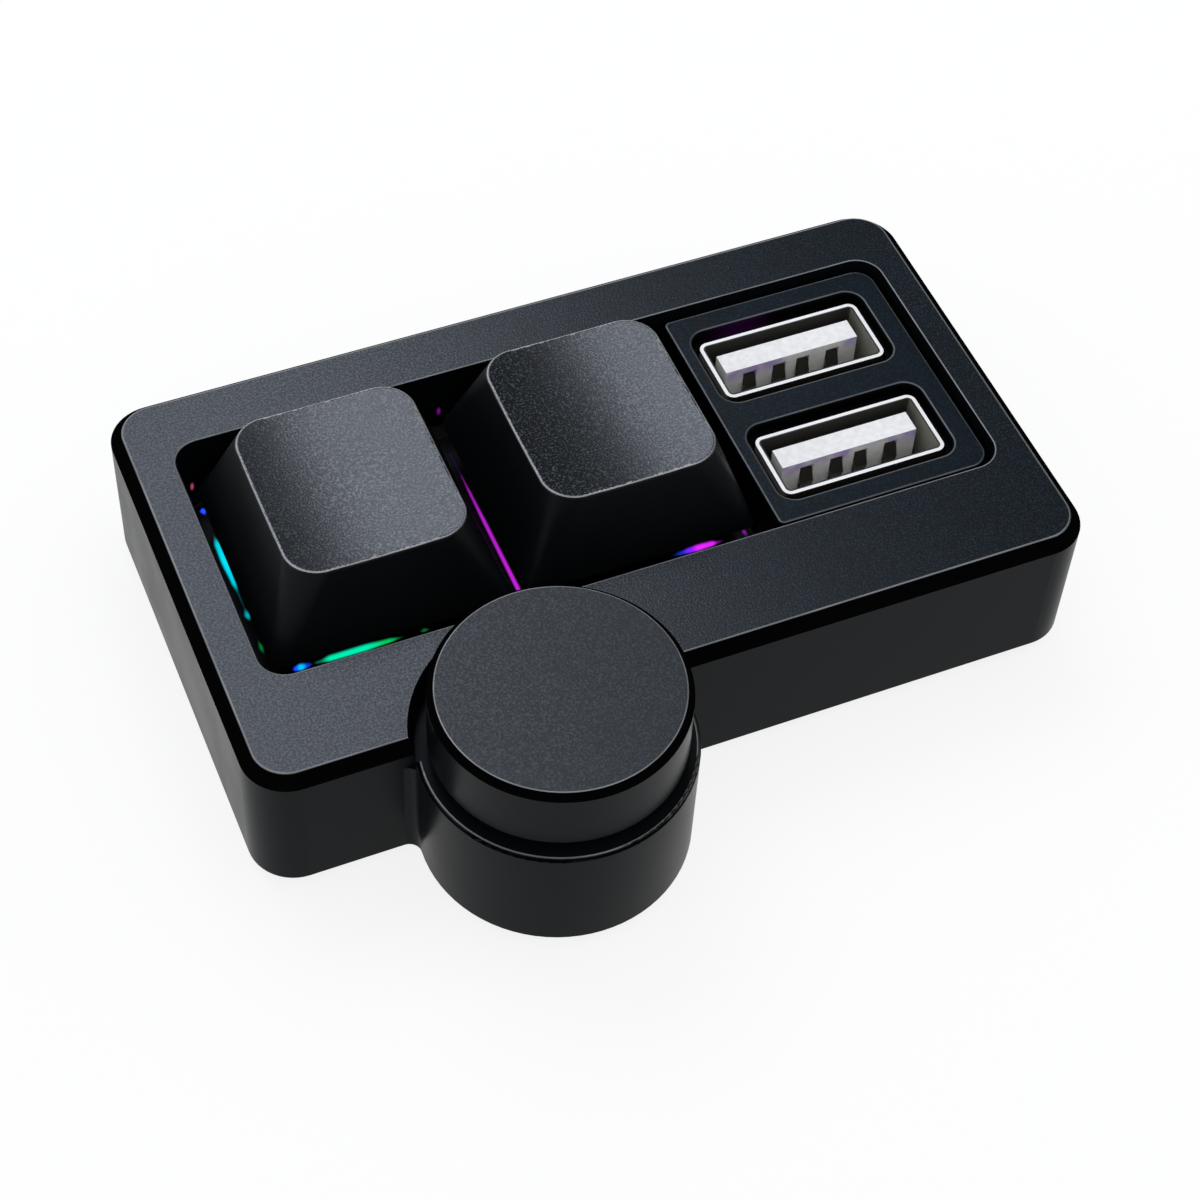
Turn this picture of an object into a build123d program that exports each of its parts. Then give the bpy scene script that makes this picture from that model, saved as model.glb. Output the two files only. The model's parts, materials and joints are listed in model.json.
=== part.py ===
from build123d import *

import math
import os

# Macro keypad: two keys in a sunken pocket, a knob on a round boss and a hub with two sockets.
# Millimetres, +Z up, +Y towards the back. The origin lies under the middle, on the desk.

# Keycaps
key_base = 18.1
key_gap = 0.95
key_left_gap = 1.05
key_panel_gap = 0.85
key_lift = 3.5
key_travel = 2.8
key_stop_gap = 0.2
keycap_top_width = 13.3
keycap_top_depth = 14.95
keycap_height = 7.2
keycap_base_radius = 1.0
keycap_top_radius = 2.6
keycap_wall = 1.1
keycap_roof = 1.9
keycap_dish = 0.3
keycap_edge_radius = 0.25
keycap_post_radius = 2.8
keycap_post_length = 2.6

# Hub panel and the two upright sockets
usb_opening_width = 12.5
usb_opening_depth = 5.12
usb_sheet = 0.4
usb_corner_radius = 0.7
usb_below_panel = 0.45
usb_ear_length = 1.4
usb_ear_width = 2.4
usb_base_height = 1.4
usb_tongue_width = 11.1
usb_tongue_thickness = 1.84
usb_tongue_back_gap = 0.85
usb_tongue_tip_drop = 0.4
usb_contact_width = 1.0
usb_contact_thickness = 0.2
usb_contact_bow = 0.45
usb_contact_tip_drop = 1.0
usb_contact_inner = 1.0
usb_contact_outer = 3.5
usb_channel_depth = 0.3
port_margin_side = 0.55
port_margin_front = 0.84
port_web = 2.6
port_recess = 0.9
port_corner_radius = 1.4
panel_left_margin = 1.2
panel_right_margin = 1.85
panel_front_margin = 1.85
panel_thickness = 1.5
panel_sunk = 0.6
panel_gap = 0.5
panel_corner_radius = 1.6
panel_left_radius = 0.5
panel_edge_radius = 0.2
ledge_width = 1.2
ledge_thickness = 1.2

# Case
rim_left = 3.8
rim_right = 3.2
notch_strip = 0.25
pocket_sink = 5.7
pocket_corner_radius = 2.0
pocket_wall = 1.2
pocket_edge_radius = 0.15
case_corner_radius = 3.4
case_chamfer = 0.9
case_edge_radius = 0.2
case_wall = 1.6
case_roof = 1.6

# Bottom cover, feet, screws and threaded inserts
foot_protrusion = 0.8
foot_recess = 0.4
foot_radius = 3.0
foot_edge_radius = 0.3
foot_side_inset = 10.5
foot_end_margin = 0.05
cover_thickness = 1.4
standoff_height = 1.2
standoff_wall = 0.05
standoff_edge = 0.25
screw_radius = 0.95
screw_head_radius = 1.75
screw_recess_length = 2.0
screw_recess_width = 0.5
screw_recess_depth = 0.6
screw_past_insert = 0.8
insert_radius = 1.5
insert_length = 3.0
insert_boss_wall = 1.1

# Board, switch plate and lights
board_thickness = 1.2
plate_gap = 1.0
plate_thickness = 1.2
plate_overlap = 1.0
plate_cutout_margin = 2.1
spacer_radius = 1.3
light_slot_width = 1.6
light_slot_length = 9.0
light_slot_web = 0.85
light_guide_thickness = 0.4
light_guide_reach = 0.55
light_guide_end_gap = 1.65
led_size = 2.0
led_height = 0.8
controller_size = 5.0
hub_chip_size = 4.0
hub_chip_gap = 1.5
chip_height = 0.85
chip_row_inset = 3.25
crystal_length = 3.2
crystal_width = 2.5
crystal_height = 0.8
crystal_corner_radius = 0.3
passive_length = 1.6
passive_width = 0.8
passive_height = 0.5
passive_pitch_x = 2.6
passive_pitch_y = 1.9
passive_columns = 3
passive_rows = 2

# Low-profile switches
switch_wall = 0.8
switch_flange_lip = 0.55
switch_flange_thickness = 0.8
switch_cover_height = 2.2
switch_cover_roof = 0.8
switch_cover_step = 0.5
switch_cover_taper = 0.5
switch_peg_radius = 1.6
stem_wall = 0.7
stem_crown = 1.0
stem_collar_gap = 0.9
stem_collar_thickness = 0.7
stem_cross_length = 4.0
stem_cross_width = 1.2
stem_cross_drop = 0.2
spring_radius = 2.15
spring_wire = 0.3
spring_turns = 8
spring_bore_gap = 0.25
spring_pin_gap = 0.35
spring_pin_length = 3.2
contact_width = 0.8
contact_thickness = 0.3
contact_spread = 3.0
contact_rise = 1.7
pin_hole_radius = 0.6
pin_tail = 0.8

# Cable inlet in the back wall
inlet_width = 8.94
inlet_height = 3.26
inlet_length = 7.3
inlet_sheet = 0.3
inlet_end_flat = 0.06
inlet_recess = 0.4
inlet_socket_gap = 0.79
inlet_margin = 0.25
inlet_tongue_width = 6.69
inlet_tongue_thickness = 0.7
inlet_tongue_length = 4.5
inlet_block_length = 1.5

# Knob, its boss and the encoder under it
knob_radius = 9.0
knob_height = 5.2
knob_chamfer = 0.5
knob_edge_radius = 0.12
knob_wall = 1.6
knob_roof = 1.4
knob_hub_wall = 1.4
knob_hub_lift = 0.4
knob_gap = 1.0
knob_push = 0.5
knob_from_left = 21.05
boss_ahead = 1.75
boss_lip = 0.8
boss_drop = 1.85
boss_roof = 1.6
boss_root_radius = 0.9
boss_edge_radius = 0.3
notch_margin = 0.1
notch_chamfer = 0.4
encoder_corner_gap = 0.846
encoder_wall = 0.9
encoder_floor = 0.6
encoder_sheet = 0.4
encoder_side = 0.3
encoder_side_length = 6.0
bushing_wall = 0.5
bushing_height = 2.1
shaft_radius = 3.0
shaft_flat = 1.5
shaft_top_gap = 0.2
rotor_thickness = 1.0
rotor_gap = 0.2
plunger_size = 6.8
plunger_thickness = 0.5
dome_radius = 2.6
dome_height = 0.62
dome_sheet = 0.1
encoder_pin_pitch = 2.5
encoder_pin_inset = 1.0

# Clearances
cut_overrun = 1.0
cover_gap = 0.15
board_gap = 0.3
socket_gap = 0.15
plate_fit = 0.05
press_gap = 0.02
slide_gap = 0.15
running_gap = 0.05
bushing_gap = 0.2
strip_gap = 0.05

# Sizes along the length, from the keys and the hub
key_pitch = key_base + key_gap
usb_shell_width = usb_opening_width + 2 * usb_sheet
usb_shell_depth = usb_opening_depth + 2 * usb_sheet
port_width = usb_shell_width + 2 * port_margin_side
port_depth = usb_shell_depth + 2 * port_margin_front
usb_pitch = port_depth + port_web
panel_width = panel_left_margin + port_width + panel_right_margin
panel_depth = usb_pitch + port_depth + 2 * panel_front_margin
pocket_width = key_left_gap + key_base + key_pitch + key_panel_gap + panel_width + panel_gap
pocket_depth = panel_depth + 2 * panel_gap
case_length = rim_left + pocket_width + rim_right
boss_radius = knob_radius + boss_lip
notch_radius = boss_radius + notch_margin
rim_front = notch_radius + notch_chamfer - boss_ahead + notch_strip
socket_to_pocket = port_margin_front + panel_front_margin + panel_gap
rim_back = inlet_recess + inlet_length + inlet_socket_gap - socket_to_pocket
case_depth = rim_front + pocket_depth + rim_back

# Places seen from above, with the whole outline centred on the origin
case_left = -case_length / 2
case_right = case_length / 2
case_back = (case_depth + boss_ahead + boss_radius) / 2
case_front = case_back - case_depth
case_middle = (0, (case_front + case_back) / 2)
knob_axis = (case_left + knob_from_left, case_front - boss_ahead)
pocket_left = case_left + rim_left
pocket_right = case_right - rim_right
pocket_front = case_front + rim_front
pocket_back = case_back - rim_back
pocket_middle = ((pocket_left + pocket_right) / 2, (pocket_front + pocket_back) / 2)
key_y = pocket_middle[1]
left_key = (pocket_left + key_left_gap + key_base / 2, key_y)
right_key = (left_key[0] + key_pitch, key_y)
panel_left = right_key[0] + key_base / 2 + key_panel_gap
panel_right = panel_left + panel_width
panel_middle = ((panel_left + panel_right) / 2, key_y)
plate_left = pocket_left - plate_overlap
plate_right = panel_left + panel_left_margin + socket_gap
usb_x = panel_left + panel_left_margin + port_width / 2
front_usb = (usb_x, key_y - usb_pitch / 2)
rear_usb = (usb_x, key_y + usb_pitch / 2)
standoff_radius = screw_head_radius + standoff_wall
screw_inset = case_wall + cover_gap + standoff_radius + standoff_edge
foot_end_inset = case_wall + cover_gap + foot_radius + foot_end_margin
screw_places = [
    (case_left + screw_inset, case_front + screw_inset),
    (case_right - screw_inset, case_front + screw_inset),
    (case_left + screw_inset, case_back - screw_inset),
    (case_right - screw_inset, case_back - screw_inset),
]
foot_places = [
    (case_left + foot_side_inset, case_front + foot_end_inset),
    (case_right - foot_side_inset, case_front + foot_end_inset),
    (case_left + foot_side_inset, case_back - foot_end_inset),
    (case_right - foot_side_inset, case_back - foot_end_inset),
    (knob_axis[0], knob_axis[1] - foot_radius),
]

# Heights above the desk
case_bottom = foot_protrusion
cover_top = case_bottom + cover_thickness
board_bottom = cover_top + standoff_height
board_top = board_bottom + board_thickness
plate_bottom = board_top + plate_gap
plate_top = plate_bottom + plate_thickness
case_top = plate_top + pocket_sink
roof_bottom = case_top - case_roof
panel_top = case_top - panel_sunk
panel_bottom = panel_top - panel_thickness
ledge_bottom = panel_bottom - ledge_thickness
usb_rim = panel_top - usb_below_panel
boss_rim = case_top - boss_drop
boss_ceiling = boss_rim - boss_roof
keycap_bottom = plate_top + key_lift
keycap_top = keycap_bottom + keycap_height
keycap_ceiling = keycap_top - keycap_roof
stem_shoulder = keycap_ceiling - keycap_post_length
spring_seat = stem_shoulder - stem_crown
flange_top = plate_top + switch_flange_thickness
switch_cover_top = flange_top + switch_cover_height
switch_ceiling = switch_cover_top - switch_cover_roof
switch_floor_top = switch_ceiling - stem_collar_thickness - key_travel - key_stop_gap
pin_bottom = board_bottom - pin_tail
insert_top = board_top + insert_length
knob_bottom = boss_rim + knob_gap
knob_top = knob_bottom + knob_height
knob_ceiling = knob_top - knob_roof
encoder_frame_top = boss_ceiling - running_gap
encoder_top = encoder_frame_top - encoder_sheet
encoder_floor_top = board_top + encoder_floor
bushing_top = encoder_frame_top + bushing_height
rotor_top = encoder_top - rotor_gap
rotor_bottom = rotor_top - rotor_thickness
plunger_bottom = encoder_floor_top + dome_height + running_gap
plunger_top = plunger_bottom + plunger_thickness
plunger_well_top = rotor_bottom - knob_push - running_gap

# Plan sizes that several pieces share
cavity_radius = case_corner_radius - case_wall
boss_cavity_radius = boss_radius - case_wall
notch_cover_radius = notch_radius + case_wall
plate_cutout = key_base - 2 * plate_cutout_margin
light_offset = plate_cutout / 2 + light_slot_web + light_slot_width / 2
switch_body = plate_cutout - 2 * plate_fit
switch_flange = plate_cutout + 2 * switch_flange_lip
switch_cavity = switch_body - 2 * switch_wall
switch_cover_base = switch_flange - 2 * switch_cover_step
switch_cover_tip = switch_cover_base - 2 * switch_cover_taper
stem_collar_size = switch_cavity - 2 * stem_collar_gap
contact_y = (stem_collar_size + switch_cavity) / 4
spring_bore_radius = spring_radius + spring_bore_gap
spring_pin_radius = spring_radius - spring_wire - spring_pin_gap
stem_radius = spring_bore_radius + stem_wall
encoder_width = (boss_cavity_radius - encoder_corner_gap) * math.sqrt(2)
encoder_pin_row = encoder_width / 2 - encoder_pin_inset
rotor_radius = encoder_width / 2 - encoder_wall
bushing_radius = shaft_radius + bushing_wall
inlet_corner_radius = (inlet_height - inlet_end_flat) / 2
row_lights = [
    (left_key[0], key_y - light_offset),
    (left_key[0], key_y + light_offset),
    (right_key[0], key_y - light_offset),
    (right_key[0], key_y + light_offset),
]
column_lights = [
    (left_key[0] - light_offset, key_y),
    (left_key[0] + key_pitch / 2, key_y),
    (right_key[0] + light_offset, key_y),
]
spacer_y_front = pocket_front + spacer_radius
spacer_y_back = pocket_back - spacer_radius
slot_end_y = key_y + light_slot_length / 2
insert_boss_y = case_back - screw_inset - insert_radius - insert_boss_wall
spacer_places = [
    (left_key[0] + key_pitch / 2, spacer_y_front),
    (left_key[0] + key_pitch / 2, spacer_y_back),
    (pocket_left + spacer_radius, spacer_y_front),
    (pocket_left + spacer_radius, (slot_end_y + insert_boss_y) / 2),
    (panel_left - spacer_radius, spacer_y_front),
    (panel_left - spacer_radius, spacer_y_back),
]
encoder_pins = [
    (knob_axis[0] - encoder_pin_pitch, knob_axis[1] - encoder_pin_row),
    (knob_axis[0], knob_axis[1] - encoder_pin_row),
    (knob_axis[0] + encoder_pin_pitch, knob_axis[1] - encoder_pin_row),
    (knob_axis[0] - encoder_pin_pitch, knob_axis[1] + encoder_pin_row),
    (knob_axis[0] + encoder_pin_pitch, knob_axis[1] + encoder_pin_row),
]
chip_row_y = case_front + case_wall + chip_row_inset
controller_place = (right_key[0] + controller_size / 2, chip_row_y)
crystal_place = (controller_place[0] + controller_size + crystal_length / 2, chip_row_y)
hub_chip_place = (usb_x, front_usb[1] - usb_shell_depth / 2 - hub_chip_gap - hub_chip_size / 2)
passive_place = (case_left + foot_side_inset, chip_row_y)
inlet_z = board_top + inlet_height / 2
inlet_mouth = case_back - inlet_recess
inlet_inner_end = inlet_mouth - inlet_length


def slab(places, width, depth, low, high, radius=0, mode=Mode.ADD):
    """Blocks with rounded upright corners between two heights, one over each place."""
    with BuildSketch(Plane.XY.offset(low)) as outline:
        with Locations(*places):
            if radius > 0:
                RectangleRounded(width, depth, radius)
            else:
                Rectangle(width, depth)
    extrude(outline.sketch, amount=high - low, mode=mode)


def disc(places, radius, low, high, mode=Mode.ADD):
    """Upright cylinders between two heights, one over each place."""
    with BuildSketch(Plane.XY.offset(low)) as outline:
        with Locations(*places):
            Circle(radius)
    extrude(outline.sketch, amount=high - low, mode=mode)


def span(left, right, front, back, low, high, mode=Mode.ADD):
    """A plain block between six faces."""
    slab([((left + right) / 2, (front + back) / 2)], right - left, back - front, low, high, mode=mode)


def turned(place, outline, mode=Mode.ADD):
    """A solid of revolution about the upright through a place, from (radius, height) points."""
    upright = Plane(origin=(place[0], place[1], 0), x_dir=(1, 0, 0), z_dir=(0, -1, 0))
    with BuildSketch(upright) as profile:
        with BuildLine():
            Polyline(*outline, close=True)
        make_face()
    revolve(profile.sketch, axis=Axis((place[0], place[1], 0), (0, 0, 1)), mode=mode)


def inner_outline(gap, low, high, mode=Mode.ADD):
    """The plan of the case's inside, box and boss together, drawn in by a gap."""
    with BuildSketch(Plane.XY.offset(low)) as outline:
        with Locations(case_middle):
            RectangleRounded(
                case_length - 2 * (case_wall + gap), case_depth - 2 * (case_wall + gap), cavity_radius
            )
        with Locations(knob_axis):
            Circle(boss_cavity_radius - gap)
    extrude(outline.sketch, amount=high - low, mode=mode)


def d_section(place, radius, flat):
    """The D of a shaft's end: a circle with one side flattened."""
    with Locations(place):
        Circle(radius)
    with Locations((place[0] + radius, place[1])):
        Rectangle(2 * flat, 2 * radius, mode=Mode.SUBTRACT)


def write(piece, name):
    """Labels a finished piece and writes it as its own file."""
    piece.part.label = name
    export_step(piece.part, f"parts/{name}.step")


os.makedirs("parts", exist_ok=True)

# Round boss with its flared roots, as it stands against the front wall
with BuildPart() as knob_boss:
    with BuildSketch(Plane.XY.offset(case_bottom)) as boss_outline:
        with Locations(knob_axis):
            Circle(boss_radius)
        with Locations((knob_axis[0], case_front + case_wall / 2)):
            Rectangle(2 * (boss_radius + 2 * boss_root_radius), case_wall)
        near_wall = boss_outline.vertices().filter_by_position(
            Axis.Y, case_front - boss_root_radius, case_front + case_wall / 2
        )
        roots = [corner for corner in near_wall if abs(corner.X - knob_axis[0]) < boss_radius]
        fillet(roots, boss_root_radius)
    extrude(amount=boss_rim - case_bottom)
    edge_in = boss_radius - boss_edge_radius
    edge_out = boss_radius + cut_overrun
    edge_low = boss_rim - boss_edge_radius
    with BuildSketch(Plane(origin=(*knob_axis, 0), x_dir=(1, 0, 0), z_dir=(0, -1, 0))):
        with BuildLine():
            Line((edge_in, boss_rim), (edge_out, boss_rim))
            Line((edge_out, boss_rim), (edge_out, edge_low))
            Line((edge_out, edge_low), (boss_radius, edge_low))
            CenterArc((edge_in, edge_low), boss_edge_radius, 0, 90)
        make_face()
    revolve(axis=Axis((*knob_axis, 0), (0, 0, 1)), mode=Mode.SUBTRACT)

# Top case: outer shell, notch for the knob, key pocket, hub ledge and insert bosses
with BuildPart() as top_case:
    slab([case_middle], case_length, case_depth, case_bottom, case_top, case_corner_radius)
    chamfer(top_case.faces().sort_by(Axis.Z)[-1].edges(), case_chamfer)
    fillet(top_case.faces().sort_by(Axis.Z)[-1].edges(), case_edge_radius)
    add(knob_boss.part)
    fillet(top_case.faces().sort_by(Axis.Z)[0].edges(), case_edge_radius)
    turned(
        knob_axis,
        [
            (0, boss_rim),
            (notch_radius, boss_rim),
            (notch_radius, case_top - notch_chamfer),
            (notch_radius + notch_chamfer + cut_overrun, case_top + cut_overrun),
            (0, case_top + cut_overrun),
        ],
        mode=Mode.SUBTRACT,
    )
    inner_outline(0, case_bottom, boss_ceiling, mode=Mode.SUBTRACT)
    with BuildSketch(Plane.XY.offset(boss_ceiling)):
        with Locations(case_middle):
            RectangleRounded(case_length - 2 * case_wall, case_depth - 2 * case_wall, cavity_radius)
        with Locations(knob_axis):
            Circle(notch_cover_radius, mode=Mode.SUBTRACT)
    extrude(amount=roof_bottom - boss_ceiling, mode=Mode.SUBTRACT)
    disc(screw_places, insert_radius + insert_boss_wall, board_top, roof_bottom)
    ring_front = pocket_front - pocket_wall
    ring_back = pocket_back + pocket_wall
    span(pocket_left - pocket_wall, plate_right, ring_front, ring_back, plate_top, roof_bottom)
    span(plate_right, pocket_right + pocket_wall, ring_front, ring_back, ledge_bottom, roof_bottom)
    slab(
        [pocket_middle],
        pocket_width,
        pocket_depth,
        panel_bottom,
        case_top,
        pocket_corner_radius,
        Mode.SUBTRACT,
    )
    fillet(
        top_case.faces().filter_by(Axis.Z).sort_by(Axis.Z)[-1].inner_wires()[0].edges(), pocket_edge_radius
    )
    with BuildSketch(Plane.XY.offset(plate_top)):
        with Locations(pocket_middle):
            RectangleRounded(pocket_width, pocket_depth, pocket_corner_radius)
        with Locations(((pocket_left + plate_right) / 2, key_y)):
            Rectangle(plate_right - pocket_left, pocket_depth, mode=Mode.INTERSECT)
    extrude(amount=panel_bottom - plate_top, mode=Mode.SUBTRACT)
    ledge_reach = panel_gap + ledge_width
    span(
        plate_right,
        pocket_right - ledge_reach,
        pocket_front + ledge_reach,
        pocket_back - ledge_reach,
        ledge_bottom,
        panel_bottom,
        mode=Mode.SUBTRACT,
    )
    with BuildSketch(Plane.XZ.offset(-case_back - cut_overrun)):
        with Locations((usb_x, inlet_z)):
            RectangleRounded(
                inlet_width + 2 * inlet_margin, inlet_height + 2 * inlet_margin, inlet_corner_radius
            )
    extrude(amount=case_wall + 2 * cut_overrun, mode=Mode.SUBTRACT)
    disc([knob_axis], bushing_radius + bushing_gap, boss_ceiling, boss_rim, Mode.SUBTRACT)
    disc(screw_places, insert_radius + press_gap, board_top, insert_top, Mode.SUBTRACT)
    disc(screw_places, screw_radius + slide_gap, insert_top, insert_top + screw_past_insert, Mode.SUBTRACT)
write(top_case, "top_case")

# Bottom cover with its standoffs, countersunk holes and foot recesses
with BuildPart() as bottom_cover:
    inner_outline(cover_gap, case_bottom, cover_top)
    disc(screw_places + [knob_axis], standoff_radius, cover_top, board_bottom)
    disc(foot_places, foot_radius + press_gap, case_bottom, case_bottom + foot_recess, Mode.SUBTRACT)
    hole_radius = screw_radius + slide_gap
    sink_radius = screw_head_radius + slide_gap
    for place in screw_places:
        turned(
            place,
            [
                (0, case_bottom),
                (sink_radius, case_bottom),
                (hole_radius, case_bottom + sink_radius - hole_radius),
                (hole_radius, board_bottom),
                (0, board_bottom),
            ],
            mode=Mode.SUBTRACT,
        )
write(bottom_cover, "bottom_cover")

# Four countersunk screws with crossed recesses
with BuildPart() as cover_screws:
    for place in screw_places:
        turned(
            place,
            [
                (0, case_bottom),
                (screw_head_radius, case_bottom),
                (screw_radius, case_bottom + screw_head_radius - screw_radius),
                (screw_radius, insert_top),
                (0, insert_top),
            ],
        )
    recess_top = case_bottom + screw_recess_depth
    slab(screw_places, screw_recess_length, screw_recess_width, case_bottom, recess_top, mode=Mode.SUBTRACT)
    slab(screw_places, screw_recess_width, screw_recess_length, case_bottom, recess_top, mode=Mode.SUBTRACT)
write(cover_screws, "cover_screws")

# Brass inserts in the bosses of the top case
with BuildPart() as threaded_inserts:
    disc(screw_places, insert_radius, board_top, insert_top)
    disc(screw_places, screw_radius + running_gap, board_top, insert_top, Mode.SUBTRACT)
write(threaded_inserts, "threaded_inserts")

# Feet set into the cover
with BuildPart() as rubber_feet:
    disc(foot_places, foot_radius, 0, case_bottom + foot_recess)
    fillet(rubber_feet.edges().group_by(Axis.Z)[0], foot_edge_radius)
write(rubber_feet, "rubber_feet")

# Circuit board with holes for the screws, pins and upright sockets
with BuildPart() as main_board:
    inner_outline(board_gap, board_bottom, board_top)
    disc(screw_places, screw_radius + slide_gap, board_bottom, board_top, Mode.SUBTRACT)
    slab(
        [front_usb, rear_usb],
        usb_shell_width + 2 * socket_gap,
        usb_shell_depth + 2 * socket_gap,
        board_bottom,
        board_top,
        usb_corner_radius,
        Mode.SUBTRACT,
    )
    switch_pins = [
        (key[0] + side * contact_spread, key_y + contact_y)
        for key in (left_key, right_key)
        for side in (-1, 1)
    ]
    disc(switch_pins + encoder_pins, pin_hole_radius, board_bottom, board_top, Mode.SUBTRACT)
    disc([left_key, right_key], switch_peg_radius + slide_gap, board_bottom, board_top, Mode.SUBTRACT)
write(main_board, "main_board")

# Parts soldered to the board
with BuildPart() as controller_chip:
    slab([controller_place], controller_size, controller_size, board_top, board_top + chip_height)
write(controller_chip, "controller_chip")

with BuildPart() as hub_chip:
    slab([hub_chip_place], hub_chip_size, hub_chip_size, board_top, board_top + chip_height)
write(hub_chip, "hub_chip")

with BuildPart() as crystal:
    crystal_top = board_top + crystal_height
    slab([crystal_place], crystal_length, crystal_width, board_top, crystal_top, crystal_corner_radius)
write(crystal, "crystal")

with BuildPart() as passive_parts:
    with BuildSketch(Plane.XY.offset(board_top)):
        with Locations(passive_place):
            with GridLocations(passive_pitch_x, passive_pitch_y, passive_columns, passive_rows):
                Rectangle(passive_length, passive_width)
    extrude(amount=passive_height)
write(passive_parts, "passive_parts")

with BuildPart() as rgb_leds:
    slab(row_lights + column_lights, led_size, led_size, board_top, board_top + led_height)
write(rgb_leds, "rgb_leds")

# Spacers between the board and the switch plate
with BuildPart() as plate_spacers:
    disc(spacer_places, spacer_radius, board_top, plate_bottom)
write(plate_spacers, "plate_spacers")

# Switch plate: the pocket's floor, with a notch round the insert boss at the back
with BuildPart() as switch_plate:
    span(
        plate_left,
        plate_right,
        pocket_front - plate_overlap,
        pocket_back + plate_overlap,
        plate_bottom,
        plate_top,
    )
    slab([left_key, right_key], plate_cutout, plate_cutout, plate_bottom, plate_top, mode=Mode.SUBTRACT)
    slab(row_lights, light_slot_length, light_slot_width, plate_bottom, plate_top, mode=Mode.SUBTRACT)
    slab(column_lights, light_slot_width, light_slot_length, plate_bottom, plate_top, mode=Mode.SUBTRACT)
    disc(
        screw_places, insert_radius + insert_boss_wall + board_gap, plate_bottom, plate_top, Mode.SUBTRACT
    )
write(switch_plate, "switch_plate")

# Light guide that frames both switches on the plate
with BuildPart() as light_guide:
    guide_top = plate_top + light_guide_thickness
    guide_half = key_base / 2 + light_guide_reach
    span(
        left_key[0] - guide_half,
        right_key[0] + guide_half,
        pocket_front + light_guide_end_gap,
        pocket_back - light_guide_end_gap,
        plate_top,
        guide_top,
    )
    window = switch_flange + 2 * socket_gap
    slab([left_key, right_key], window, window, plate_top, guide_top, mode=Mode.SUBTRACT)
write(light_guide, "light_guide")


def coil(place, radius, low, high, turns):
    """Adds a climbing coil of tangent biarcs, two to each quarter turn, and returns its start."""
    climb = (high - low) / (turns * 2 * math.pi)

    def point(angle):
        return Vector(
            place[0] + radius * math.cos(angle), place[1] + radius * math.sin(angle), low + climb * angle
        )

    def heading(angle):
        return Vector(-radius * math.sin(angle), radius * math.cos(angle), climb).normalized()

    for quarter in range(4 * turns):
        first = quarter * math.pi / 2
        last = first + math.pi / 2
        chord = point(last) - point(first)
        along = chord.dot(heading(first) + heading(last))
        bend = 2 * (1 - heading(first).dot(heading(last)))
        reach = (math.sqrt(along**2 + bend * chord.dot(chord)) - along) / bend
        start_leg = point(first) + heading(first) * reach
        end_leg = point(last) - heading(last) * reach
        joint = (start_leg + end_leg) * (1 / 2)
        TangentArc(point(first), joint, tangent=heading(first))
        TangentArc(joint, point(last), tangent=end_leg - start_leg)
    return Plane(origin=point(0), z_dir=heading(0))


def least_coil_gap(radius, rise, turns, wire, steps):
    """The smallest clear space between one turn and the next, measured on points."""
    points = [
        Vector(
            radius * math.cos(2 * math.pi * step / steps),
            radius * math.sin(2 * math.pi * step / steps),
            rise * step / (steps * turns),
        )
        for step in range(steps * turns + 1)
    ]
    distances = [
        (points[later] - points[earlier]).length
        for earlier in range(len(points))
        for later in range(earlier + steps // 2, len(points))
    ]
    return min(distances) - wire


coil_radius = spring_radius - spring_wire / 2
coil_low = switch_floor_top + spring_wire / 2
coil_high = spring_seat - spring_wire / 2
coil_steps = 24
coil_gap = least_coil_gap(coil_radius, coil_high - coil_low, spring_turns, spring_wire, coil_steps)
print(f"least gap between turns of a switch spring: {coil_gap:.3f} mm")

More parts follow.
